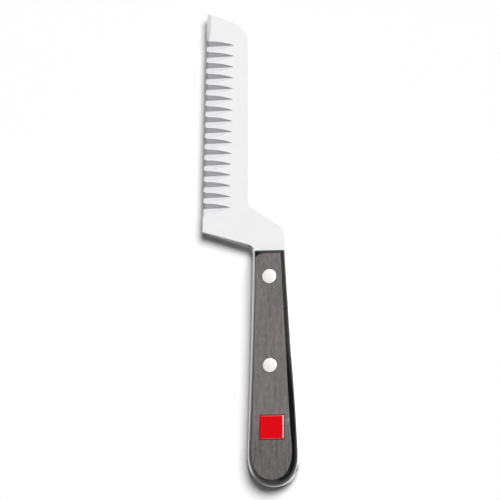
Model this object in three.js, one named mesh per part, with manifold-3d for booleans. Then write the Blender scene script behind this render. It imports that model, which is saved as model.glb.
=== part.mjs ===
// Crinkle knife lying on its side: a fluted blade on an offset neck, its full tang, and two riveted scales.
// Millimetres. +Y runs from butt to tip, +X to the spine side and +Z up through the plate.
// The origin is midway between the rivets, on the flat face of the lower scale.
import * as THREE from "three";
import { mergeVertices } from "three/addons/utils/BufferGeometryUtils.js";
import Module from "manifold-3d";

const wasm = await Module();
wasm.setup();

// Thicknesses
const plateThickness = 2.0;
const scaleThickness = 5.4;

// Blade
const edgeLength = 111.3; // tip corner to heel
const heelAhead = 9.95; // heel ahead of the scales' front end
const spineOffset = 11.45; // spine to the left of the rivets' line
const bladeWidth = 23.8; // edge to spine at the heel
const edgeTaper = 2.5; // how much narrower the blade is at the tip corner
const tipSlope = Math.tan(THREE.MathUtils.degToRad(17.0));
const tipRoundAcross = 13.3; // where the sloped end starts to round, across from the spine
const tipRoundAlong = 8.9; // and how far down the spine it ends
const tipFacetWidth = 2.0; // ground facet on the edge at the tip corner, gone at the first flute
const tipFacetDrop = 0.1;
const tipFacetLength = 9.5; // of full width

// Flutes, cut by the V-shaped rim of a wheel whose axis lies beyond the edge
const flutePitch = 5.5;
const fluteLength = 14.3; // edge to the flute's fading tip
const fluteLand = 0.25; // flat left between two flutes at the edge
const edgeWeb = 0.7; // steel left under a flute at the edge
const fluteLean = THREE.MathUtils.degToRad(1.2); // the flutes lean towards the tip
const wheelRadius = 80;
const plainTip = 13.85;
const plainHeel = 9.45;
const fluteSteps = 8;

// Neck
const spineFoot = 23.2; // where spine and neck would meet, ahead of the scales' front end
const neckUpperSlope = 0.648;
const neckLowerSlope = 0.325;
const spineFootRound = 2.4; // tangent lengths of the rounded corners
const shoulderRoundBefore = 4.0;
const shoulderRoundAfter = 7.4;
const knuckleRound = 3.0;

// Grip: outline of the tang, with the scales standing back from it
const gripAhead = 36.0; // scales' front end, ahead of the rivets' middle
const gripBehind = 83.3; // butt end, behind the rivets' middle
const buttRound = 18.3; // length of the rounded butt
const buttFullness = 0.68; // 0.55 rounds it as an ellipse, more makes it squarer
const gripFrontWidth = 17.6;
const gripFrontShift = -0.65; // middle of the front end, off the rivets' line
const gripWideWidth = 26.8;
const gripWideShift = 1.3;
const edgeSideHollow = 0.7; // the edge side bows in before it flares to the butt
const sideReveal = 1.2; // steel showing beside the scales
const buttReveal = 0.15;
const eased = 0.1; // broken edges of the plate
const easedSideWidth = 1.0; // ground-off edges where the hand meets the steel
const easedDrop = 0.6;
const easedHeelWidth = 0.5; // they start small at the heel and end small at the butt
const easedHeelDrop = 0.25;
const easedButtWidth = 0.1;

// Scale sides: upright at the plate, then bevelled to the flat face; one front corner is cut off
const bevelHeight = 2.4;
const bevelCurve = 1.35; // 1 is a flat bevel, more curves it out of the upright wall
const bevelSteps = 3;
const edgeBevelFront = 1.2;
const edgeBevelWide = 1.6;
const spineBevelFront = 1.3;
const spineBevelWide = 2.1;
const frontBevel = 1.7;
const buttBevel = 2.7;
const cornerFootCut = 0.8; // at the plate, both ways
const cornerCutAcross = 5.2; // at the flat face
const cornerCutAlong = 2.9;

// Rivets: a hollow half pressed up from below and a pin half pressed down into it
const rivetSpacing = 45;
const rivetStagger = 0.15; // the front one off the middle line towards the edge, the rear one the other way
const rivetHeadRadius = 3.7;
const rivetHeadThickness = 1.6;
const rivetTubeRadius = 2.3;
const rivetPinRadius = 1.35;
const rivetPinStop = 1.0; // gap between the pin's end and the hollow half's floor
const rivetTubeStop = 0.6; // gap between the tube's rim and the pin half's head
const rivetEase = 0.15;
const holeClearance = 0.3;
const headClearance = 0.15;
const rivetSides = 32;

// Badge: a plain tile let into the upper scale
const badgeSide = 12.3;
const badgeShift = 1.45; // off the rivets' line
const badgeBehind = 53.9; // centre, behind the rivets' middle
const badgeDepth = 1.2;
const badgeProud = 0.35;
const badgeChamfer = 0.55;
const badgeClearance = 0.2;

// Steps along a curve, room that a cut runs past the face it opens, and limits for points taken as one
const curveSteps = 16;
const cornerSteps = 6;
const overcut = 1;
const weld = 1e-4;
const straightTurn = 0.01;

const plateBottom = scaleThickness;
const plateTop = plateBottom + plateThickness;
const gripTop = plateTop + scaleThickness;
const heelY = gripAhead + heelAhead;
const tipY = heelY + edgeLength;
const wideY = buttRound - gripBehind;
const spineX = -spineOffset;
const heelX = spineX - bladeWidth;
const tipX = heelX + edgeTaper;

const at = (x, y) => new THREE.Vector2(x, y);
const raise = (points, z) => points.map((p) => new THREE.Vector3(p.x, p.y, z));
const line = (a, b) => new THREE.LineCurve(a, b);
const corner = (a, c, b) => new THREE.QuadraticBezierCurve(a, c, b);
const rivetPlaces = {
  front: at(-rivetStagger, rivetSpacing / 2),
  rear: at(rivetStagger, -rivetSpacing / 2),
};

// A closed solid through matching rings of points, each anticlockwise from above, from lowest to highest.
function loft(rings) {
  const count = rings[0].length;
  const index = [];
  for (let ring = 0; ring + 1 < rings.length; ring++) {
    for (let i = 0; i < count; i++) {
      const a = ring * count + i;
      const b = ring * count + ((i + 1) % count);
      index.push(a, b, b + count, a, b + count, a + count);
    }
  }
  const cap = (ring, up) => {
    const flat = ring.map((p) => at(p.x, p.y));
    for (const [a, b, c] of THREE.ShapeUtils.triangulateShape(flat, [])) {
      const turnsLeft = THREE.ShapeUtils.area([flat[a], flat[b], flat[c]]) > 0;
      const start = up ? (rings.length - 1) * count : 0;
      if (turnsLeft === up) index.push(start + a, start + b, start + c);
      else index.push(start + a, start + c, start + b);
    }
  };
  cap(rings[0], false);
  cap(rings.at(-1), true);
  const geometry = new THREE.BufferGeometry().setFromPoints(rings.flat());
  geometry.setIndex(index);
  return geometry;
}

// A closed geometry as a solid that can be joined and cut.
function solid(geometry) {
  const bare = geometry.clone();
  bare.deleteAttribute("normal");
  bare.deleteAttribute("uv");
  const merged = mergeVertices(bare, weld);
  const source = merged.index.array;
  const triVerts = [];
  for (let i = 0; i < source.length; i += 3) {
    const [a, b, c] = source.slice(i, i + 3);
    if (a !== b && b !== c && c !== a) triVerts.push(a, b, c);
  }
  const vertProperties = merged.attributes.position.array;
  const mesh = new wasm.Mesh({ numProp: 3, vertProperties, triVerts: new Uint32Array(triVerts) });
  return new wasm.Manifold(mesh);
}

// A solid back as a geometry.
function shapeOf(body) {
  const mesh = body.getMesh();
  const geometry = new THREE.BufferGeometry();
  geometry.setAttribute("position", new THREE.BufferAttribute(mesh.vertProperties, 3));
  geometry.setIndex(new THREE.BufferAttribute(mesh.triVerts, 1));
  geometry.computeVertexNormals();
  return geometry;
}

// A turned piece about an upright axis at a place, from [radius, height] pairs, lowest first.
function turned(profile, place) {
  const points = profile.map(([radius, height]) => at(radius, height));
  const geometry = new THREE.LatheGeometry(points, rivetSides);
  geometry.rotateX(Math.PI / 2);
  geometry.translate(place.x, place.y, 0);
  return solid(geometry);
}

// Outline of the grip's left side, butt and right side, moved in from the tang's own outline.
// Each side moves in by its own amounts at the front end and at the widest place.
function gripCurves(edgeSide, spineSide, insetButt, frontY) {
  const frontLeft = at(gripFrontShift - gripFrontWidth / 2 + edgeSide.front, frontY);
  const frontRight = at(gripFrontShift + gripFrontWidth / 2 - spineSide.front, frontY);
  const wideLeft = at(gripWideShift - gripWideWidth / 2 + edgeSide.wide, wideY);
  const wideRight = at(gripWideShift + gripWideWidth / 2 - spineSide.wide, wideY);
  const end = at(gripWideShift, insetButt - gripBehind);
  const hollow = frontLeft.clone().lerp(wideLeft, 0.5).add(at(edgeSideHollow, 0));
  const reach = buttFullness * (wideY - end.y);
  const leftDown = wideLeft.clone().sub(hollow).setLength(reach).add(wideLeft);
  const rightDown = wideRight.clone().sub(frontRight).setLength(reach).add(wideRight);
  const endLeft = end.clone().lerp(at(wideLeft.x, end.y), buttFullness);
  const endRight = end.clone().lerp(at(wideRight.x, end.y), buttFullness);
  return {
    left: corner(frontLeft, hollow, wideLeft),
    buttLeft: new THREE.CubicBezierCurve(wideLeft, leftDown, endLeft, end),
    buttRight: new THREE.CubicBezierCurve(end, endRight, rightDown, wideRight),
    right: line(wideRight, frontRight),
  };
}

// A curve's points without its last one.
const trace = (curve, steps) => curve.getPoints(steps).slice(0, -1);

// One ring of a scale at a height off the plate: the foot's outline up to the bevel, then moved in along it.
function scaleRing(height, z) {
  const rise = Math.max(0, (height - scaleThickness + bevelHeight) / bevelHeight);
  const inward = rise ** bevelCurve;
  const side = (front, wide) => ({ front: sideReveal + inward * front, wide: sideReveal + inward * wide });
  const { left, buttLeft, buttRight, right } = gripCurves(
    side(edgeBevelFront, edgeBevelWide),
    side(spineBevelFront, spineBevelWide),
    buttReveal + inward * buttBevel,
    gripAhead - inward * frontBevel,
  );
  const cut = (full) => THREE.MathUtils.lerp(cornerFootCut, full, inward);
  const across = left.v0.clone().add(at(cut(cornerCutAcross), 0));
  const along = left.v0.clone().sub(at(0, cut(cornerCutAlong)));
  const points = [
    ...trace(corner(across, left.v0, along), cornerSteps),
    ...trace(corner(along, left.v1, left.v2), curveSteps),
    ...trace(buttLeft, curveSteps),
    ...trace(buttRight, curveSteps),
    right.v1,
    right.v2,
  ];
  return raise(points, z);
}

// The plate's outline as pieces in order from the heel, each with its bevel [width, drop] at both ends.
function plateOutline() {
  const tang = { front: 0, wide: 0 };
  const grip = gripCurves(tang, tang, 0, gripAhead);
  const tangLeft = grip.left.v0.x;
  const heel = at(heelX, heelY);
  const tip = at(tipX, tipY);
  const knuckle = at(tangLeft, heelY - neckLowerSlope * (tangLeft - heel.x));
  const foot = at(spineX, gripAhead + spineFoot);
  const shoulderX = grip.right.v2.x;
  const shoulder = at(shoulderX, foot.y - neckUpperSlope * (shoulderX - spineX));
  const tipCorner = at(spineX, tip.y - tipSlope * (spineX - tipX));

  const towards = (from, to, length) => to.clone().sub(from).setLength(length).add(from);
  const knuckleStart = towards(knuckle, heel, knuckleRound);
  const knuckleEnd = at(knuckle.x, knuckle.y - knuckleRound);
  const tangSide = corner(knuckleEnd, grip.left.v1, grip.left.v2);
  const shoulderStart = at(grip.right.v2.x, shoulder.y - shoulderRoundAfter);
  const shoulderEnd = towards(shoulder, foot, shoulderRoundBefore);
  const footStart = towards(foot, shoulder, spineFootRound);
  const footEnd = at(spineX, foot.y + spineFootRound);
  const roundStart = at(spineX, tipCorner.y - tipRoundAlong);
  const roundEnd = at(spineX - tipRoundAcross, tipCorner.y + tipSlope * tipRoundAcross);
  const facetEnd = tip.clone().lerp(heel, tipFacetLength / edgeLength);
  const firstFlute = tip.clone().lerp(heel, plainTip / edgeLength);

  const broken = [eased, eased];
  const heelSide = [easedHeelWidth, easedHeelDrop];
  const handSide = [easedSideWidth, easedDrop];
  const handButt = [easedButtWidth, easedDrop];
  const tipFacet = [tipFacetWidth, tipFacetDrop];
  return [
    { curve: line(heel, knuckleStart), from: heelSide, to: handSide },
    { curve: corner(knuckleStart, knuckle, knuckleEnd), from: handSide, to: handSide },
    { curve: tangSide, from: handSide, to: handSide },
    { curve: grip.buttLeft, from: handSide, to: handButt },
    { curve: grip.buttRight, from: handButt, to: handSide },
    { curve: line(grip.right.v1, shoulderStart), from: handSide, to: handSide },
    { curve: corner(shoulderStart, shoulder, shoulderEnd), from: handSide, to: broken },
    { curve: line(shoulderEnd, footStart), from: broken, to: broken },
    { curve: corner(footStart, foot, footEnd), from: broken, to: broken },
    { curve: line(footEnd, roundStart), from: broken, to: broken },
    { curve: corner(roundStart, tipCorner, roundEnd), from: broken, to: broken },
    { curve: line(roundEnd, tip), from: broken, to: broken },
    { curve: line(tip, facetEnd), from: tipFacet, to: tipFacet },
    { curve: line(facetEnd, firstFlute), from: tipFacet, to: broken },
    { curve: line(firstFlute, heel), from: broken, to: broken },
  ];
}

// A point moved in from both of its neighbouring sides by each side's own width.
function inset(before, point, after, widthBefore, widthAfter) {
  const inward = (a, b) => at(a.y - b.y, b.x - a.x).normalize();
  const first = inward(before, point);
  const second = inward(point, after);
  const turn = first.cross(second);
  if (Math.abs(turn) < straightTurn) {
    const middle = first.add(second).normalize();
    return point.clone().addScaledVector(middle, (widthBefore + widthAfter) / 2);
  }
  const x = (widthBefore * second.y - widthAfter * first.y) / turn;
  const y = (widthAfter * first.x - widthBefore * second.x) / turn;
  return point.clone().add(at(x, y));
}

// The plate before its flutes and holes: its outline at full width between two bevelled rims.
function plateBlank() {
  const pieces = plateOutline();
  const outline = [];
  pieces.forEach(({ curve, from, to }, i) => {
    const steps = curve.isLineCurve ? 1 : curveSteps;
    for (let step = 0; step < steps; step++) {
      const share = step / steps;
      const width = THREE.MathUtils.lerp(from[0], to[0], share);
      const drop = THREE.MathUtils.lerp(from[1], to[1], share);
      const last = pieces.at(i - 1).to;
      outline.push({
        point: curve.getPoint(share),
        before: step ? width : last[0],
        after: width,
        drop: step ? drop : Math.max(drop, last[1]),
      });
    }
  });
  const rim = outline.map(({ point, before, after }, i) => {
    const next = outline[(i + 1) % outline.length].point;
    return inset(outline.at(i - 1).point, point, next, before, after);
  });
  const level = (face, inward) =>
    outline.map(({ point, drop }) => new THREE.Vector3(point.x, point.y, face + inward * drop));
  return loft([raise(rim, plateBottom), level(plateBottom, 1), level(plateTop, -1), raise(rim, plateTop)]);
}

// The space that the wheel's rim sweeps for one flute: its valley line lies along X from the edge at X = 0.
function fluteCut() {
  const depth = plateThickness - edgeWeb;
  const halfWidth = (flutePitch - fluteLand) / 2;
  const beyond = (2 * wheelRadius * depth - fluteLength ** 2) / (2 * fluteLength);
  const start = -overcut;
  const end = fluteLength + overcut;
  const rings = [];
  for (let step = 0; step <= fluteSteps; step++) {
    const along = THREE.MathUtils.lerp(start, end, step / fluteSteps);
    const valley = (along ** 2 + 2 * beyond * along) / (2 * wheelRadius) - depth;
    const half = ((overcut - valley) * halfWidth) / depth;
    const section = [at(0, valley), at(half, overcut), at(-half, overcut)];
    rings.push(raise(section, along));
  }
  const geometry = loft(rings);
  const [x, y, z] = [new THREE.Vector3(1, 0, 0), new THREE.Vector3(0, 1, 0), new THREE.Vector3(0, 0, 1)];
  return geometry.applyMatrix4(new THREE.Matrix4().makeBasis(y, z, x));
}

// Flutes in the upper face, with those of the lower face halfway between them, so that the edge waves.
function cutFlutes(body) {
  const count = Math.round((edgeLength - plainTip - plainHeel) / flutePitch);
  const cut = (fromTip, turn, z) => {
    const geometry = fluteCut();
    geometry.rotateX(turn);
    geometry.rotateZ(fluteLean);
    geometry.translate(THREE.MathUtils.lerp(tipX, heelX, fromTip / edgeLength), tipY - fromTip, z);
    body = body.subtract(solid(geometry));
  };
  for (let i = 0; i < count; i++) {
    const fromTip = plainTip + (i + 0.5) * flutePitch;
    cut(fromTip, 0, plateTop);
    if (i + 1 < count) cut(fromTip + flutePitch / 2, Math.PI, plateBottom);
  }
  return body;
}

function blade() {
  let body = cutFlutes(solid(plateBlank()));
  for (const place of Object.values(rivetPlaces)) {
    const radius = rivetTubeRadius + holeClearance;
    const low = plateBottom - overcut;
    const high = plateTop + overcut;
    body = body.subtract(turned([[0, low], [radius, low], [radius, high], [0, high]], place));
  }
  return body;
}

// One scale, its flat face up or down, with a stepped hole for each rivet.
function scale(plateFace, outerFace) {
  const outward = Math.sign(outerFace - plateFace);
  const heights = [0];
  for (let step = 0; step <= bevelSteps; step++) {
    heights.push(scaleThickness - bevelHeight + (bevelHeight * step) / bevelSteps);
  }
  const levels = heights.map((height) => scaleRing(height, plateFace + outward * height));
  if (outward < 0) levels.reverse();
  let body = solid(loft(levels));
  const seat = outerFace - outward * rivetHeadThickness;
  const shank = rivetTubeRadius + holeClearance;
  const head = rivetHeadRadius + headClearance;
  const inside = plateFace - outward * overcut;
  const outside = outerFace + outward * overcut;
  const profile = [[0, inside], [shank, inside], [shank, seat], [head, seat], [head, outside], [0, outside]];
  if (outward < 0) profile.reverse();
  for (const place of Object.values(rivetPlaces)) body = body.subtract(turned(profile, place));
  return body;
}

function upperScale() {
  const side = badgeSide + 2 * badgeClearance;
  const recess = new THREE.BoxGeometry(side, side, badgeDepth + overcut);
  recess.translate(badgeShift, -badgeBehind, gripTop + (overcut - badgeDepth) / 2);
  return scale(plateTop, gripTop).subtract(solid(recess));
}

function badge() {
  const square = (side, z) => {
    const half = side / 2;
    const corners = [at(-half, -half), at(half, -half), at(half, half), at(-half, half)];
    return raise(corners.map((c) => c.add(at(badgeShift, -badgeBehind))), z);
  };
  const foot = gripTop - badgeDepth;
  return solid(
    loft([
      square(badgeSide, foot),
      square(badgeSide, gripTop),
      square(badgeSide - 2 * badgeChamfer, gripTop + badgeProud),
    ]),
  );
}

// Hollow half of a rivet: its head in the lower scale, its tube up through the tang into the upper scale.
function rivetSocket(place) {
  const rim = gripTop - rivetHeadThickness - rivetTubeStop;
  const bore = rivetPinRadius + holeClearance;
  const profile = [
    [0, 0],
    [rivetHeadRadius - rivetEase, 0],
    [rivetHeadRadius, rivetEase],
    [rivetHeadRadius, rivetHeadThickness],
    [rivetTubeRadius, rivetHeadThickness],
    [rivetTubeRadius, rim],
    [bore, rim],
    [bore, rivetHeadThickness],
    [0, rivetHeadThickness],
  ];
  return turned(profile, place);
}

// Pin half of a rivet: its head in the upper scale, its pin down inside the tube.
function rivetPin(place) {
  const end = rivetHeadThickness + rivetPinStop;
  const seat = gripTop - rivetHeadThickness;
  const profile = [
    [0, end],
    [rivetPinRadius - rivetEase, end],
    [rivetPinRadius, end + rivetEase],
    [rivetPinRadius, seat],
    [rivetHeadRadius, seat],
    [rivetHeadRadius, gripTop - rivetEase],
    [rivetHeadRadius - rivetEase, gripTop],
    [0, gripTop],
  ];
  return turned(profile, place);
}

const steel = new THREE.MeshStandardMaterial({ color: 0xe4e5e6, roughness: 0.35, metalness: 1 });
const blackPlastic = new THREE.MeshStandardMaterial({ color: 0x2a2728, roughness: 0.45, metalness: 0 });
const rivetMetal = new THREE.MeshStandardMaterial({ color: 0xeeeeec, roughness: 0.3, metalness: 1 });
const redEnamel = new THREE.MeshStandardMaterial({ color: 0xd8101c, roughness: 0.25, metalness: 0 });

const knife = new THREE.Group();
function add(name, body, material) {
  const mesh = new THREE.Mesh(shapeOf(body), material);
  mesh.name = name;
  knife.add(mesh);
}

add("blade", blade(), steel);
add("upper_scale", upperScale(), blackPlastic);
add("lower_scale", scale(plateBottom, 0), blackPlastic);
for (const [name, place] of Object.entries(rivetPlaces)) {
  add(`${name}_rivet_socket`, rivetSocket(place), rivetMetal);
  add(`${name}_rivet_pin`, rivetPin(place), rivetMetal);
}
add("badge", badge(), redEnamel);

export default knife;
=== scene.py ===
import math
from collections import namedtuple

import bmesh
import bpy
from mathutils import Matrix, Vector


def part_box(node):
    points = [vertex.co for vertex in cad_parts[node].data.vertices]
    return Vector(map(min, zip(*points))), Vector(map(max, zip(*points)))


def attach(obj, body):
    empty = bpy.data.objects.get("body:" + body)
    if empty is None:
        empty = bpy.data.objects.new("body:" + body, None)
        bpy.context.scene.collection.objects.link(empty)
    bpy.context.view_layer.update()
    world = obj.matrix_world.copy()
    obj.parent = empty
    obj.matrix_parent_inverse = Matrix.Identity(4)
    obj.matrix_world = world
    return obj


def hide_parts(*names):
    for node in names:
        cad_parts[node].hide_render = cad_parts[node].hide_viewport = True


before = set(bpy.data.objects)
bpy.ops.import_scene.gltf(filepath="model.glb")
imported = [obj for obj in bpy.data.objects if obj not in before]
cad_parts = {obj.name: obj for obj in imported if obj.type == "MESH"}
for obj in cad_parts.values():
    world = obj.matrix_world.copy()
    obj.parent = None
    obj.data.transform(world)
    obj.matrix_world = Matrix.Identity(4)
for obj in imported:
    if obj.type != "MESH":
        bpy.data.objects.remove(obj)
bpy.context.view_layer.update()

MM = 0.001


def box(node):
    low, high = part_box(node)
    return low / MM, high / MM


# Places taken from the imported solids
plate_low, plate_high = box("blade")
scale_high = box("upper_scale")[1]
badge_low, badge_high = box("badge")
plate_bottom = plate_low.z
plate_top = plate_high.z
grip_top = scale_high.z
grip_front = scale_high.y
butt_y = plate_low.y
heel_x = plate_low.x
tip_y = plate_high.y
RIVETS = ("front", "rear")

# Blade
edge_length = 111.3
spine_x = -11.45
edge_taper = 2.5
tip_slope = math.tan(math.radians(17.0))
tip_round_across = 13.3
tip_round_along = 8.9
tip_facet_length = 9.5  # of full width, before it narrows to the honed strip
heel = Vector((heel_x, tip_y - edge_length))
tip = Vector((heel_x + edge_taper, tip_y))

# Flutes, ground by the V-shaped rim of a wheel, and the honed strip along the edge
flute_pitch = 5.5
flute_length = 14.3
flute_land = 0.25
edge_web = 0.7
flute_lean = math.radians(1.2)
wheel_radius = 80
plain_tip = 13.85
plain_heel = 9.45
hone_end = 1.0  # in which the honed strip ends past the last flute
flute_depth = plate_top - plate_bottom - edge_web
flute_half = (flute_pitch - flute_land) / 2
flute_steps = 20
along_flute = Vector((math.cos(flute_lean), math.sin(flute_lean)))

# Neck
spine_foot = 23.2
neck_upper_slope = 0.648
neck_lower_slope = 0.325
spine_foot_round = 2.4
shoulder_round_before = 4.0
shoulder_round_after = 7.4
knuckle_round = 3.0

# Grip
butt_round = 18.3
edge_butt_fullness = 0.64  # 0.55 rounds the butt as an ellipse, more makes it squarer
spine_butt_fullness = 0.65
grip_front_width = 17.6
grip_front_shift = -0.65
grip_wide_width = 26.8
grip_wide_shift = 1.3
edge_side_hollow = 0.7
side_reveal = 1.2
butt_reveal = 0.05
bevel_height = 2.4
bevel_curve = 1.35  # 1 is a flat bevel, more curves it out of the upright wall
front_bevel = 1.7
butt_bevel = 2.7
lean_curve = 2.2  # the butt and the edge side's front lean in over the whole height, most at the face
spine_swell_foot = 0.4  # pull on the rear of the spine side, out at the bevel's foot and in at the face
spine_swell_face = -0.5
spine_swell_curve = 2.5
spine_swell_place = 0.2  # shares of the way from the widest place to the front
spine_swell_end = 0.5
spine_hollow = 0.12  # how far in the side lies where the swell ends
face_ease = 0.1
corner_foot_cut = 0.8
corner_cut_across = 5.2
corner_cut_along = 2.9
wide_y = butt_y + butt_round
scale_thickness = grip_top - plate_top
wall_height = scale_thickness - bevel_height

# Amounts that each side of the grip moves in, at its front end and at its widest place
Side = namedtuple("Side", "front wide")
tang_side = Side(0, 0)
edge_bevel = Side(1.2, 1.6)
spine_bevel = Side(1.3, 2.1)

# Rivets and badge
rivet_head_thickness = 1.6
rivet_tube_radius = 2.3
rivet_pin_radius = 1.35
rivet_pin_stop = 1.0
rivet_tube_stop = 0.6
rivet_ease = 0.2
rivet_dome = 0.03
hole_clearance = 0.3
head_clearance = 0.15
badge_rim = 0.6
badge_lip = 0.25  # the rim's gently sloped inner part
badge_lip_drop = 0.09
badge_rim_foot = 0.2  # where the rim starts, below the handle's face
badge_corner = 0.35
badge_clearance = 0.2

# Fineness of the meshes
curve_steps = 16
rim_steps = 4
wall_rings = 6
bevel_rings = 14
corner_steps = 6
turned_sides = 64
overcut = 1  # how far a cutter reaches past a face
weld = 0.001
straight_turn = 0.01  # a smaller turn between two sides counts as none
crease = math.radians(20)
satin_lean = math.radians(15)  # a rim that leans less keeps the satin finish
smooth_corners = 4  # a face with more corners is one of the large flat ones

# How the plate's edges are finished: width on the face, drop down the side, and 1 if rounded or 0 if flat
Rim = namedtuple("Rim", "width drop rounded")
broken = Rim(0.1, 0.1, 1)
heel_side = Rim(0.5, 0.25, 0)
hand_side = Rim(1.2, 0.6, 0)
hand_butt = Rim(0.05, 0.04, 0)
tip_facet = Rim(2.0, 0.06, 0)
honed = Rim(1.0, 0.15, 0)

# Finishes: from the darkest colour to the lightest and from the least roughness to the most
Finish = namedtuple("Finish", "dark light smooth rough")
satin = Finish((0.78, 0.78, 0.79), (0.85, 0.85, 0.85), 0.40, 0.50)
ground = Finish((0.84, 0.83, 0.87), (0.95, 0.95, 0.96), 0.16, 0.24)
polished = Finish((0.003, 0.003, 0.004), (0.007, 0.007, 0.008), 0.16, 0.26)
# The sanded face's greys are a painted sheen of the overhead light on black plastic; its roughness is its
# own.
sanded_painted_sheen = Finish((0.055, 0.049, 0.049), (0.175, 0.155, 0.155), 0.42, 0.58)
bright = Finish((0.89, 0.85, 0.85), (0.94, 0.90, 0.90), 0.40, 0.46)
red_rim = Finish((0.64, 0.003, 0.007), (0.71, 0.004, 0.010), 0.26, 0.32)
red_face = red_rim._replace(smooth=0.14, rough=0.20)

# Marks in the finishes: their sizes along X, Y and Z, and their depths
satin_line = (6, 0.14, 6)
satin_line_depth = 0.002
satin_cloud = (14, 9, 9)
ground_line = (9, 0.35, 0.35)
ground_line_depth = 0.006
ground_line_detail = 3.0
black_speck = (0.8, 0.8, 0.8)
black_speck_depth = 0.003
sanding_streak = (0.8, 24, 0.8)
sanding_streak_depth = 0.01
sanding_streak_detail = 4.0
sanding_mottle = (1.2, 2.6, 1.2)
rivet_speck = (0.5, 0.5, 0.5)
red_cloud = (1.5, 1.5, 1.5)
mark_low = 0.3  # the part of the sanding noise that is stretched to full strength
mark_high = 0.7
streak_share = 0.32
mottle_share = 0.32
# share of painted sheen that grows from the widest place to the badge's front edge
forward_sheen_share = 0.36

# Gloss: how much a finish mirrors, and its refractive index
black_specular = 0.4
rim_specular = 1.0
rim_glass = 1.9
face_specular = 0.06
face_glass = 1.5


# Shader trees written as expressions
class Wire:
    """An output in a shader tree. Arithmetic on it adds Math nodes."""

    def __init__(self, tree, socket):
        self.tree = tree
        self.socket = socket

    def __add__(self, other):
        return self.tree.node("Math", {"operation": "ADD"}, {0: self, 1: other})

    def __mul__(self, other):
        return self.tree.node("Math", {"operation": "MULTIPLY"}, {0: self, 1: other})

    __radd__ = __add__
    __rmul__ = __mul__


class Tree:
    """The node tree of a material or of the world."""

    def __init__(self, owner):
        owner.use_nodes = True
        self.nodes = owner.node_tree.nodes
        self.links = owner.node_tree.links
        self.nodes.clear()

    def node(self, kind, settings, sockets, output=0):
        """Adds a node of one kind, with its settings first and then its sockets' values or links."""
        made = self.nodes.new("ShaderNode" + kind)
        for name, value in settings.items():
            setattr(made, name, value)
        for name, value in sockets.items():
            if isinstance(value, Wire):
                self.links.new(value.socket, made.inputs[name])
            else:
                made.inputs[name].default_value = value
        return Wire(self, made.outputs[output]) if made.outputs else None

    def grain(self, size, detail=2.0):
        """Noise from 0 to 1 whose marks have the given size in millimetres along X, Y and Z."""
        spot = self.node("TexCoord", {}, {}, "Object")
        per_metre = [1 / (length * MM) for length in size]
        stretched = self.node("Mapping", {}, {"Vector": spot, "Scale": per_metre})
        return self.node("TexNoise", {}, {"Vector": stretched, "Scale": 1.0, "Detail": detail})

    def between(self, value, low, high):
        """How far a value is on the way from low to high, with soft ends."""
        ends = {"From Min": low, "From Max": high}
        return self.node("MapRange", {"interpolation_type": "SMOOTHSTEP"}, {"Value": value, **ends})

    def blend(self, share, first, second):
        """A colour between two colours, through the sockets that a Mix node has for colours."""
        factor, colour_a, colour_b, result = 0, 6, 7, 2
        ends = {factor: share, colour_a: (*first, 1), colour_b: (*second, 1)}
        return self.node("Mix", {"data_type": "RGBA"}, ends, result)

    def relief(self, height, depth):
        """A normal for a surface with fine marks of the given depth in millimetres."""
        return self.node("Bump", {}, {"Height": height, "Strength": 1.0, "Distance": depth * MM})

    def surface(self, **sockets):
        """Ends the tree in one shader; names use _ for a space."""
        values = {name.replace("_", " "): value for name, value in sockets.items()}
        shader = self.node("BsdfPrincipled", {}, values)
        self.node("OutputMaterial", {}, {"Surface": shader})


def new_material(name):
    material = bpy.data.materials.new(name)
    return material, Tree(material)


def roughness(finish, share):
    return finish.smooth + (finish.rough - finish.smooth) * share


def satin_steel():
    material, tree = new_material("satin_steel")
    lines = tree.grain(satin_line)
    clouds = tree.grain(satin_cloud)
    tree.surface(
        Base_Color=tree.blend(0.5 * lines + 0.5 * clouds, satin.dark, satin.light),
        Metallic=1.0,
        Roughness=roughness(satin, lines),
        Normal=tree.relief(lines, satin_line_depth),
    )
    return material


def ground_steel():
    material, tree = new_material("ground_flutes")
    lines = tree.grain(ground_line, ground_line_detail)
    tree.surface(
        Base_Color=tree.blend(lines, ground.dark, ground.light),
        Metallic=1.0,
        Roughness=roughness(ground, lines),
        Normal=tree.relief(lines, ground_line_depth),
    )
    return material


def polished_black():
    material, tree = new_material("polished_black")
    specks = tree.grain(black_speck)
    tree.surface(
        Base_Color=tree.blend(specks, polished.dark, polished.light),
        Roughness=roughness(polished, specks),
        Specular_IOR_Level=black_specular,
        Normal=tree.relief(specks, black_speck_depth),
    )
    return material


def sanded_black_painted_sheen():
    """Sanding streaks over a fine mottle, in greys that are a painted sheen on black plastic; the painted
    sheen is lighter from the badge's front edge on than at the butt.
    """
    material, tree = new_material("sanded_black_painted_sheen")
    streaks = tree.between(tree.grain(sanding_streak, sanding_streak_detail), mark_low, mark_high)
    mottle = tree.between(tree.grain(sanding_mottle), mark_low, mark_high)
    spot = tree.node("TexCoord", {}, {}, "Object")
    along = tree.node("SeparateXYZ", {}, {"Vector": spot}, "Y")
    # Painted sheen: lighter from the badge's front edge on, darker towards the widest place and the butt.
    forward_sheen = tree.between(along, wide_y * MM, badge_high.y * MM)
    light = streak_share * streaks + mottle_share * mottle + forward_sheen_share * forward_sheen
    tree.surface(
        Base_Color=tree.blend(light, sanded_painted_sheen.dark, sanded_painted_sheen.light),
        Roughness=roughness(sanded_painted_sheen, streaks),
        Normal=tree.relief(streaks, sanding_streak_depth),
    )
    return material


def bright_rivet():
    material, tree = new_material("bright_rivet")
    specks = tree.grain(rivet_speck)
    tree.surface(
        Base_Color=tree.blend(specks, bright.dark, bright.light),
        Metallic=1.0,
        Roughness=roughness(bright, specks),
    )
    return material


def red_enamel(name, red, specular, glass):
    """Red enamel with faint clouds, for the badge's rim or its face."""
    material, tree = new_material(name)
    clouds = tree.grain(red_cloud)
    tree.surface(
        Base_Color=tree.blend(clouds, red.dark, red.light),
        Roughness=roughness(red, clouds),
        Specular_IOR_Level=specular,
        IOR=glass,
    )
    return material


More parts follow.
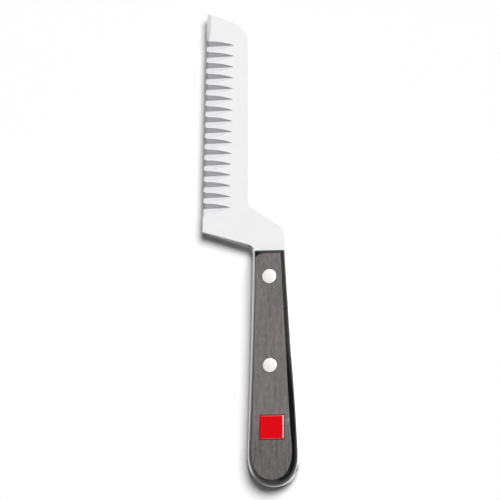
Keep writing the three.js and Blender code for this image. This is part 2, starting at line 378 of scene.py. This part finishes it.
# Meshes
class Skin:
    """A closed surface gathered face by face in millimetres, and welded where corners meet."""

    def __init__(self):
        self.mesh = bmesh.new()

    def face(self, corners, material=0):
        made = self.mesh.faces.new([self.mesh.verts.new(corner) for corner in corners])
        made.material_index = material

    def band(self, lower, upper, material=0, closed=True):
        """Faces between two matching rows of points; both rows run anticlockwise seen from above."""
        count = len(lower)
        for i in range(count if closed else count - 1):
            j = (i + 1) % count
            corners = (lower[i], lower[j], upper[j], upper[i])
            self.face(corners, material(corners) if callable(material) else material)

    def loft(self, rings, end_materials=(0, 0)):
        for lower, upper in zip(rings, rings[1:]):
            self.band(lower, upper)
        self.face(rings[0][::-1], end_materials[0])
        self.face(rings[-1], end_materials[1])

    def build(self, name, materials):
        bmesh.ops.remove_doubles(self.mesh, verts=self.mesh.verts, dist=weld)
        bmesh.ops.dissolve_degenerate(self.mesh, edges=self.mesh.edges, dist=weld)
        bmesh.ops.recalc_face_normals(self.mesh, faces=self.mesh.faces)
        bmesh.ops.scale(self.mesh, verts=self.mesh.verts, vec=(MM, MM, MM))
        data = bpy.data.meshes.new(name)
        self.mesh.to_mesh(data)
        self.mesh.free()
        piece = bpy.data.objects.new(name, data)
        bpy.context.collection.objects.link(piece)
        for material in materials:
            data.materials.append(material)
        return piece


def cut(piece, cutters):
    """Cuts other pieces out of one piece and removes them."""
    for cutter in cutters:
        modifier = piece.modifiers.new("cut", "BOOLEAN")
        modifier.object = cutter
        modifier.solver = "EXACT"
    bpy.context.view_layer.update()
    shape = piece.evaluated_get(bpy.context.evaluated_depsgraph_get())
    data = bpy.data.meshes.new_from_object(shape)
    piece.modifiers.clear()
    piece.data = data
    for cutter in cutters:
        bpy.data.objects.remove(cutter)


def place(piece, node):
    """Gives a finished piece its creases, and puts it on the knife in the place of its solid."""
    piece.data.set_sharp_from_angle(angle=crease)
    for face in piece.data.polygons:
        face.use_smooth = len(face.vertices) <= smooth_corners
    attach(piece, "root")
    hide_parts(node)


# Outlines in the plane of the plate
def bend(start, corner, end, steps=curve_steps):
    """Points on a curve that leaves and arrives along the lines to its corner, without the last one."""
    shares = [i / steps for i in range(steps)]
    return [start.lerp(corner, t).lerp(corner.lerp(end, t), t) for t in shares]


def quarter(start, leave, arrive, end, steps=curve_steps):
    """Points on a curve with two handles, without the last one."""
    points = []
    for i in range(steps):
        t = i / steps
        first = start.lerp(leave, t).lerp(leave.lerp(arrive, t), t)
        second = leave.lerp(arrive, t).lerp(arrive.lerp(end, t), t)
        points.append(first.lerp(second, t))
    return points


def towards(start, end, length):
    return start + (end - start).normalized() * length


def raised(points, z):
    return [Vector((p.x, p.y, z)) for p in points]


Grip = namedtuple("Grip", "front_left hollow wide_left butt_left butt_right wide_right front_right")


def grip_points(edge_side, spine_side, inset_butt, front_y):
    """The grip's outline, moved in from the tang's own: its corners, and the points of its butt curves."""
    front_half = grip_front_width / 2
    wide_half = grip_wide_width / 2
    front_left = Vector((grip_front_shift - front_half + edge_side.front, front_y))
    front_right = Vector((grip_front_shift + front_half - spine_side.front, front_y))
    wide_left = Vector((grip_wide_shift - wide_half + edge_side.wide, wide_y))
    wide_right = Vector((grip_wide_shift + wide_half - spine_side.wide, wide_y))
    end = Vector((grip_wide_shift, butt_y + inset_butt))
    hollow = front_left.lerp(wide_left, 0.5) + Vector((edge_side_hollow, 0))
    drop = wide_y - end.y
    left_down = wide_left + (wide_left - hollow).normalized() * edge_butt_fullness * drop
    right_down = wide_right + (wide_right - front_right).normalized() * spine_butt_fullness * drop
    end_left = end.lerp(Vector((wide_left.x, end.y)), edge_butt_fullness)
    end_right = end.lerp(Vector((wide_right.x, end.y)), spine_butt_fullness)
    butt_left = quarter(wide_left, left_down, end_left, end)
    butt_right = quarter(end, end_right, right_down, wide_right)
    return Grip(front_left, hollow, wide_left, butt_left, butt_right, wide_right, front_right)


def on_edge(from_tip):
    return tip.lerp(heel, from_tip / edge_length)


def plate_outline():
    """Stretches of the plate's outline from the last flute round to the first, with the rim at both ends."""
    g = grip_points(tang_side, tang_side, 0, grip_front)
    knuckle = Vector((g.front_left.x, heel.y - neck_lower_slope * (g.front_left.x - heel.x)))
    foot = Vector((spine_x, grip_front + spine_foot))
    shoulder = Vector((g.front_right.x, foot.y - neck_upper_slope * (g.front_right.x - spine_x)))
    tip_corner = Vector((spine_x, tip.y - tip_slope * (spine_x - tip.x)))
    knuckle_start = towards(knuckle, heel, knuckle_round)
    knuckle_end = knuckle - Vector((0, knuckle_round))
    shoulder_start = shoulder - Vector((0, shoulder_round_after))
    shoulder_end = towards(shoulder, foot, shoulder_round_before)
    foot_start = towards(foot, shoulder, spine_foot_round)
    foot_end = foot + Vector((0, spine_foot_round))
    round_start = tip_corner - Vector((0, tip_round_along))
    round_end = tip_corner + Vector((-tip_round_across, tip_slope * tip_round_across))
    return [
        ([on_edge(edge_length - plain_heel)], honed, broken),
        ([on_edge(edge_length - plain_heel + hone_end)], broken, broken),
        ([heel], heel_side, hand_side),
        (bend(knuckle_start, knuckle, knuckle_end), hand_side, hand_side),
        (bend(knuckle_end, g.hollow, g.wide_left), hand_side, hand_side),
        (g.butt_left, hand_side, hand_butt),
        (g.butt_right, hand_butt, hand_side),
        ([g.wide_right], hand_side, hand_side),
        (bend(shoulder_start, shoulder, shoulder_end), hand_side, broken),
        ([shoulder_end], broken, broken),
        (bend(foot_start, foot, foot_end), broken, broken),
        ([foot_end], broken, broken),
        (bend(round_start, tip_corner, round_end), broken, broken),
        ([round_end], broken, broken),
        ([tip], tip_facet, tip_facet),
        ([on_edge(tip_facet_length)], tip_facet, honed),
        ([on_edge(plain_tip)], honed, honed),
    ]


def moved_in(before, point, after, width_before, width_after):
    """A point moved in from both of its neighbouring sides by each side's own width."""
    def inward(a, b):
        return Vector((a.y - b.y, b.x - a.x)).normalized()

    first = inward(before, point)
    second = inward(point, after)
    turn = first.cross(second)
    if abs(turn) < straight_turn:
        return point + (first + second).normalized() * (width_before + width_after) / 2
    x = (width_before * second.y - width_after * first.y) / turn
    y = (width_after * first.x - width_before * second.x) / turn
    return point + Vector((x, y))


def plate_rim():
    """For each point of the outline: the point, the point moved in on the face, and its rim."""
    stretches = plate_outline()
    stations = []
    for i, (points, start, end) in enumerate(stretches):
        for step, point in enumerate(points):
            share = step / len(points)
            here = Rim(*(a + (b - a) * share for a, b in zip(start, end)))
            last = stretches[i - 1][2] if step == 0 else here
            drop = max(here.drop, last.drop)
            stations.append((point, last.width, Rim(here.width, drop, here.rounded)))
    rows = []
    for i, (point, width_before, rim) in enumerate(stations):
        if i in (0, len(stations) - 1):
            inner = point + along_flute * honed.width
            rim = honed
        else:
            inner = moved_in(stations[i - 1][0], point, stations[i + 1][0], width_before, rim.width)
        rows.append((point, inner, rim))
    return rows


def rim_row(rows, share, face, inward):
    """The rim's points a share of the way from the face to the side; inward is -1 on the upper face."""
    made = []
    for point, inner, rim in rows:
        angle = share * math.pi / 2
        across = (1 - share) + rim.rounded * (share - math.sin(angle))
        down = share + rim.rounded * (1 - math.cos(angle) - share)
        flat = point.lerp(inner, across)
        made.append(Vector((flat.x, flat.y, face + inward * rim.drop * down)))
    return made


def flute_stations():
    """Distances in from the edge: close together on the honed strip, then even to the flutes' ends."""
    strip = [honed.width * i / rim_steps for i in range(rim_steps)]
    step = (flute_length - honed.width) / flute_steps
    return strip + [honed.width + step * i for i in range(flute_steps + 1)]


def flute_row(distance, face, inward, first_valley):
    """One row of points along the blade at a distance from the edge, through every flute of one face."""
    beyond = (2 * wheel_radius * flute_depth - flute_length**2) / (2 * flute_length)
    depth = flute_depth - (distance**2 + 2 * beyond * distance) / (2 * wheel_radius)
    share = max(depth / flute_depth, 0)
    hone = honed.drop * max(1 - distance / honed.width, 0)
    halves = round(2 * (edge_length - plain_tip - plain_heel) / flute_pitch)
    row = []
    for half in range(halves + 1):
        in_valley = half % 2 == first_valley
        is_cut = in_valley and 0 < half < halves
        offset = flute_land / 2 * share if in_valley else flute_pitch / 2 - flute_half * share
        for side in (-1, 0, 1):
            if not 0 <= half + side / 2 <= halves:
                continue
            sunk = depth - abs(side) * flute_depth * offset / flute_half if is_cut else 0
            spot = on_edge(plain_tip + half * flute_pitch / 2 + side * offset) + along_flute * distance
            row.append(Vector((spot.x, spot.y, face + inward * (max(sunk, 0) + hone))))
    return row


def is_steep(corners):
    """1 for a face of the rim that leans far enough to be ground, 0 for one that keeps the satin finish."""
    normal = (corners[1] - corners[0]).cross(corners[3] - corners[0]).normalized()
    return int(abs(normal.z) < math.cos(satin_lean))


def is_ground(corners, face):
    """1 for a face that the wheel or the hone has cut, 0 for one still on the plate's own face."""
    return int(max(abs(corner.z - face) for corner in corners) > weld)


def plate_side(skin, rows, face, inward, first_valley):
    """One face of the plate with its flutes and rim. Returns the points along its outer edge."""
    flutes = [flute_row(d, face, inward, first_valley) for d in flute_stations()]
    rims = [rim_row(rows, i / rim_steps, face, inward) for i in range(rim_steps + 1)]
    flat = rims[0] + [row[0] for row in flutes[rim_steps + 1:]] + flutes[-1][1:-1]
    flat += [row[-1] for row in flutes[:rim_steps:-1]]
    skin.face(flat)
    for inner, outer in zip(rims, rims[1:]):
        skin.band(outer, inner, is_steep, closed=False)
    for outer, inner in zip(flutes, flutes[1:]):
        skin.band(outer, inner, lambda corners: is_ground(corners, face), closed=False)
    return rims[-1] + flutes[0][1:-1]


def fluted_blade(finishes):
    skin = Skin()
    rows = plate_rim()
    upper = plate_side(skin, rows, plate_top, -1, 1)
    lower = plate_side(skin, rows, plate_bottom, 1, 0)
    skin.band(lower, upper)
    blade = skin.build("fluted_blade", finishes)
    holes = []
    for rivet in RIVETS:
        radius = rivet_tube_radius + hole_clearance
        low = plate_bottom - overcut
        high = plate_top + overcut
        holes.append(turned("hole", [(0, low), (radius, low), (radius, high), (0, high)], rivet, []))
    cut(blade, holes)
    place(blade, "blade")


# Turned pieces
def rivet_axis(rivet):
    low, high = box(f"{rivet}_rivet_pin")
    return (low + high) / 2


def turned(name, profile, rivet, finishes):
    """A turned piece on a rivet's axis, from (radius, height) pairs, lowest first."""
    axis = rivet_axis(rivet)
    skin = Skin()
    rings = []
    for radius, height in profile:
        ring = []
        for i in range(turned_sides):
            angle = 2 * math.pi * i / turned_sides
            out = Vector((math.cos(angle), math.sin(angle))) * radius
            ring.append(Vector((axis.x + out.x, axis.y + out.y, height)))
        rings.append(ring)
    for lower, upper in zip(rings, rings[1:]):
        skin.band(lower, upper)
    return skin.build(name, finishes)


def head_profile(radius, seat, top):
    """A rivet's head from its seat to the middle of its low dome."""
    outward = math.copysign(1, top - seat)
    shoulder = top - outward * (rivet_dome + rivet_ease)
    profile = [(radius, seat)]
    for i in range(corner_steps + 1):
        angle = i / corner_steps * math.pi / 2
        out = radius - rivet_ease * (1 - math.cos(angle))
        profile.append((out, shoulder + outward * rivet_ease * math.sin(angle)))
    crown = radius - rivet_ease
    for i in range(1, corner_steps + 1):
        share = 1 - i / corner_steps
        profile.append((crown * share, top - outward * rivet_dome * share**2))
    return profile


def rivet_halves(rivet, finishes):
    low, high = box(f"{rivet}_rivet_pin")
    head_radius = (high.x - low.x) / 2
    seat = grip_top - rivet_head_thickness
    end = rivet_head_thickness + rivet_pin_stop
    pin = [
        (0, end),
        (rivet_pin_radius - rivet_ease, end),
        (rivet_pin_radius, end + rivet_ease),
        (rivet_pin_radius, seat),
    ]
    piece = turned(f"{rivet}_pin_half", pin + head_profile(head_radius, seat, grip_top), rivet, finishes)
    place(piece, f"{rivet}_rivet_pin")
    rim = seat - rivet_tube_stop
    bore = rivet_pin_radius + hole_clearance
    tube = [
        (rivet_tube_radius, rivet_head_thickness),
        (rivet_tube_radius, rim),
        (bore, rim),
        (bore, rivet_head_thickness),
        (0, rivet_head_thickness),
    ]
    head = head_profile(head_radius, rivet_head_thickness, 0)[::-1]
    piece = turned(f"{rivet}_hollow_half", head + tube, rivet, finishes)
    place(piece, f"{rivet}_rivet_socket")


# Handle
def scale_ring(height, z, ease=0.0):
    """One ring of a scale at a height over the plate: the foot's outline, moved in as the sides lean."""
    up_bevel = max(height - wall_height, 0) / bevel_height
    inward = up_bevel**bevel_curve
    leaning = (height / scale_thickness)**lean_curve

    def moved(front_share, wide_share, bevel):
        front = side_reveal + front_share * bevel.front + ease
        return Side(front, side_reveal + wide_share * bevel.wide + ease)

    def corner_cut(full):
        return corner_foot_cut + inward * (full - corner_foot_cut)

    front_y = grip_front - inward * front_bevel - ease
    end = butt_reveal + leaning * butt_bevel + ease
    edge_side = moved(leaning, inward, edge_bevel)
    spine_side = moved(inward, inward, spine_bevel)
    g = grip_points(edge_side, spine_side, end, front_y)
    across = g.front_left + Vector((corner_cut(corner_cut_across), 0))
    along = g.front_left - Vector((0, corner_cut(corner_cut_along)))
    points = bend(across, g.front_left, along, corner_steps)
    points += bend(along, g.hollow, g.wide_left) + g.butt_left + g.butt_right
    swell = spine_swell_face + (spine_swell_foot - spine_swell_face) * (1 - up_bevel)**spine_swell_curve
    pulled = g.wide_right.lerp(g.front_right, spine_swell_place) + Vector((swell, 0))
    swell_end = g.wide_right.lerp(g.front_right, spine_swell_end) - Vector((spine_hollow, 0))
    points += bend(g.wide_right, pulled, swell_end) + [swell_end, g.front_right]
    return raised(points, z)


def handle_scale(name, plate_face, outer_face, finishes):
    """A scale without its holes, and the cutters that make them."""
    outward = math.copysign(1, outer_face - plate_face)
    heights = [wall_height * i / wall_rings for i in range(wall_rings)]
    heights += [wall_height + bevel_height * (i / bevel_rings)**2 for i in range(bevel_rings)]
    heights.append(scale_thickness - face_ease / 2)
    rings = [scale_ring(height, plate_face + outward * height) for height in heights]
    rings.append(scale_ring(scale_thickness, outer_face, face_ease))
    ends = (0, 1)
    if outward < 0:
        rings.reverse()
        ends = (1, 0)
    skin = Skin()
    skin.loft(rings, ends)
    piece = skin.build(name, finishes)
    seat = outer_face - outward * rivet_head_thickness
    shank = rivet_tube_radius + hole_clearance
    low, high = box("front_rivet_pin")
    head = (high.x - low.x) / 2 + head_clearance
    inside = plate_face - outward * overcut
    outside = outer_face + outward * overcut
    profile = [(0, inside), (shank, inside), (shank, seat), (head, seat), (head, outside), (0, outside)]
    return piece, [turned("hole", profile, rivet, []) for rivet in RIVETS]


def rounded_square(inset, z):
    """A square around the badge's centre with rounded corners, its side moved in from the badge's own."""
    centre = (badge_low + badge_high) / 2
    half = (badge_high.x - badge_low.x) / 2 - inset
    points = []
    for x, y in ((1, 1), (-1, 1), (-1, -1), (1, -1)):
        corner = Vector((centre.x + x * half, centre.y + y * half))
        first = Vector((0, -y)) if x * y > 0 else Vector((-x, 0))
        second = Vector((-x, 0)) if x * y > 0 else Vector((0, -y))
        start = corner + first * badge_corner
        end = corner + second * badge_corner
        points += bend(start, corner, end, corner_steps) + [end]
    return raised(points, z)


def upper_handle(finishes):
    piece, holes = handle_scale("upper_handle", plate_top, grip_top, finishes)
    recess = Skin()
    recess.loft([rounded_square(-badge_clearance, z) for z in (badge_low.z, grip_top + overcut)])
    cut(piece, holes + [recess.build("recess", [])])
    place(piece, "upper_scale")


def lower_handle(finishes):
    piece, holes = handle_scale("lower_handle", plate_bottom, 0, finishes)
    cut(piece, holes)
    place(piece, "lower_scale")


def red_tile(finishes):
    """The badge: its flat face and the sloped rim that stands out of the handle."""
    rim_foot = grip_top - badge_rim_foot
    rings = [
        rounded_square(0, badge_low.z),
        rounded_square(0, rim_foot),
        rounded_square(badge_rim - badge_lip, badge_high.z - badge_lip_drop),
        rounded_square(badge_rim, badge_high.z),
    ]
    skin = Skin()
    skin.loft(rings, (0, 1))
    place(skin.build("red_tile", finishes), "badge")


# Stage: a white table, a studio dome, a soft key lamp from the upper right and a small card past the butt
camera_lean = Vector((0.1835, -0.128, 1))
photo_scale = 0.503  # millimetres to a pixel
photo_pixels = 500
rivet_middle_pixel = Vector((271.16, 321.9))
camera_distance = 7000
sensor_width = 36
view_depth = 100000
floor_half = 14000
floor_white = 0.94
floor_bounce = 0.12  # the table's white in the light that it throws back
key_from = Vector((0.42, 0.46, 1))
key_share = 1.02  # of the light that makes the table white
key_angle = math.radians(32)
butt_card_at = Vector((-20, -200, 70))
butt_card_side = 140
butt_card_watts = 0.025

# Cards of the dome: the way to each one, the cosines at its outer and inner edge, and its level
Card = namedtuple("Card", "towards outer inner level")
dome_level = 0.008
card_fill = 0.1  # the cards' share in the light on matt surfaces; mirrors show them in full
overhead = Card((-0.12, 0.25, 1), 0.88, 0.97, 0.22)
past_tip = Card((-0.22, 0.86, 0.47), 0.9, 0.97, 0.9)
past_butt = Card((-0.16, -0.69, 0.68), 0.92, 0.98, 0.38)
past_end = Card((-0.18, -0.95, 0.25), 0.93, 0.985, 0.9)
past_edge = Card((-0.97, 0.1, 0.2), 0.85, 0.95, 0.62)
past_spine = Card((0.76, 0.125, 0.65), 0.955, 0.985, 1.1)
past_corner = Card((0.55, -0.6, 0.55), 0.88, 0.96, 0.8)
past_knuckle = Card((-0.84, -0.37, 0.4), 0.88, 0.96, 0.2)


def camera():
    away = camera_lean.normalized()
    up = (Vector((0, 1, 0)) - away.y * away).normalized()
    right = up.cross(away)
    offset = (Vector((photo_pixels, photo_pixels)) / 2 - rivet_middle_pixel) * photo_scale
    target = Vector((0, 0, plate_top)) + right * offset.x - up * offset.y
    data = bpy.data.cameras.new("camera")
    data.sensor_width = sensor_width
    data.lens = sensor_width * camera_distance / (photo_pixels * photo_scale)
    data.clip_end = view_depth * MM
    viewer = bpy.data.objects.new("camera", data)
    viewer.location = (target + away * camera_distance) * MM
    viewer.rotation_euler = Matrix((right, up, away)).transposed().to_euler()
    bpy.context.collection.objects.link(viewer)
    bpy.context.scene.camera = viewer


def seen(tree):
    """1 for a ray from the camera, a mirror or glass, and 0 for one that lights a matt surface."""
    rays = ("Is Camera Ray", "Is Glossy Ray", "Is Transmission Ray")
    camera_ray, glossy_ray, clear_ray = (tree.node("LightPath", {}, {}, ray) for ray in rays)
    return camera_ray + glossy_ray + clear_ray


def table():
    material, tree = new_material("white_table")
    white = tree.blend(seen(tree), [floor_bounce] * 3, [floor_white] * 3)
    tree.surface(Base_Color=white, Roughness=1.0, Specular_IOR_Level=0.0)
    data = bpy.data.meshes.new("table")
    half = floor_half * MM
    corners = [(x * half, y * half, 0) for x, y in ((-1, -1), (1, -1), (1, 1), (-1, 1))]
    data.from_pydata(corners, [], [(0, 1, 2, 3)])
    data.materials.append(material)
    floor = bpy.data.objects.new("table", data)
    bpy.context.collection.objects.link(floor)


def lamp(name, kind, away, settings):
    """A lamp that faces the knife; away is the way from the knife to the lamp."""
    data = bpy.data.lights.new(name, kind)
    for setting, value in settings.items():
        setattr(data, setting, value)
    made = bpy.data.objects.new(name, data)
    made.rotation_euler = away.to_track_quat("Z", "Y").to_euler()
    made.visible_camera = False
    bpy.context.collection.objects.link(made)
    return made


def key_lamp():
    away = key_from.normalized()
    lamp("key_lamp", "SUN", away, {"energy": key_share * math.pi / away.z, "angle": key_angle})


def butt_card():
    """A small white card beyond the butt, which lightens the shadow there a little."""
    away = butt_card_at - Vector((grip_wide_shift, butt_y, plate_bottom))
    made = lamp("butt_card", "AREA", away, {"energy": butt_card_watts, "size": butt_card_side * MM})
    made.location = butt_card_at * MM


def studio_dome():
    world = bpy.data.worlds.new("studio_dome")
    bpy.context.scene.world = world
    tree = Tree(world)
    direction = tree.node("TexCoord", {}, {}, "Generated")
    cards = 0
    for card in (overhead, past_tip, past_butt, past_end, past_edge, past_spine, past_corner, past_knuckle):
        ways = {0: direction, 1: Vector(card.towards).normalized()}
        cosine = tree.node("VectorMath", {"operation": "DOT_PRODUCT"}, ways, "Value")
        cards = cards + card.level * tree.between(cosine, card.outer, card.inner)
    level = dome_level + cards * (card_fill + (1 - card_fill) * seen(tree))
    shade = tree.node("Background", {}, {"Color": (1, 1, 1, 1), "Strength": level})
    tree.node("OutputWorld", {}, {"Surface": shade})


camera()
table()
key_lamp()
butt_card()
studio_dome()
bpy.context.scene.view_settings.view_transform = "Standard"

handle_finishes = [polished_black(), sanded_black_painted_sheen()]
fluted_blade([satin_steel(), ground_steel()])
upper_handle(handle_finishes)
lower_handle(handle_finishes)
rivet_finish = [bright_rivet()]
for rivet in RIVETS:
    rivet_halves(rivet, rivet_finish)
rim_enamel = red_enamel("red_rim", red_rim, rim_specular, rim_glass)
face_enamel = red_enamel("red_face", red_face, face_specular, face_glass)
red_tile([rim_enamel, face_enamel])
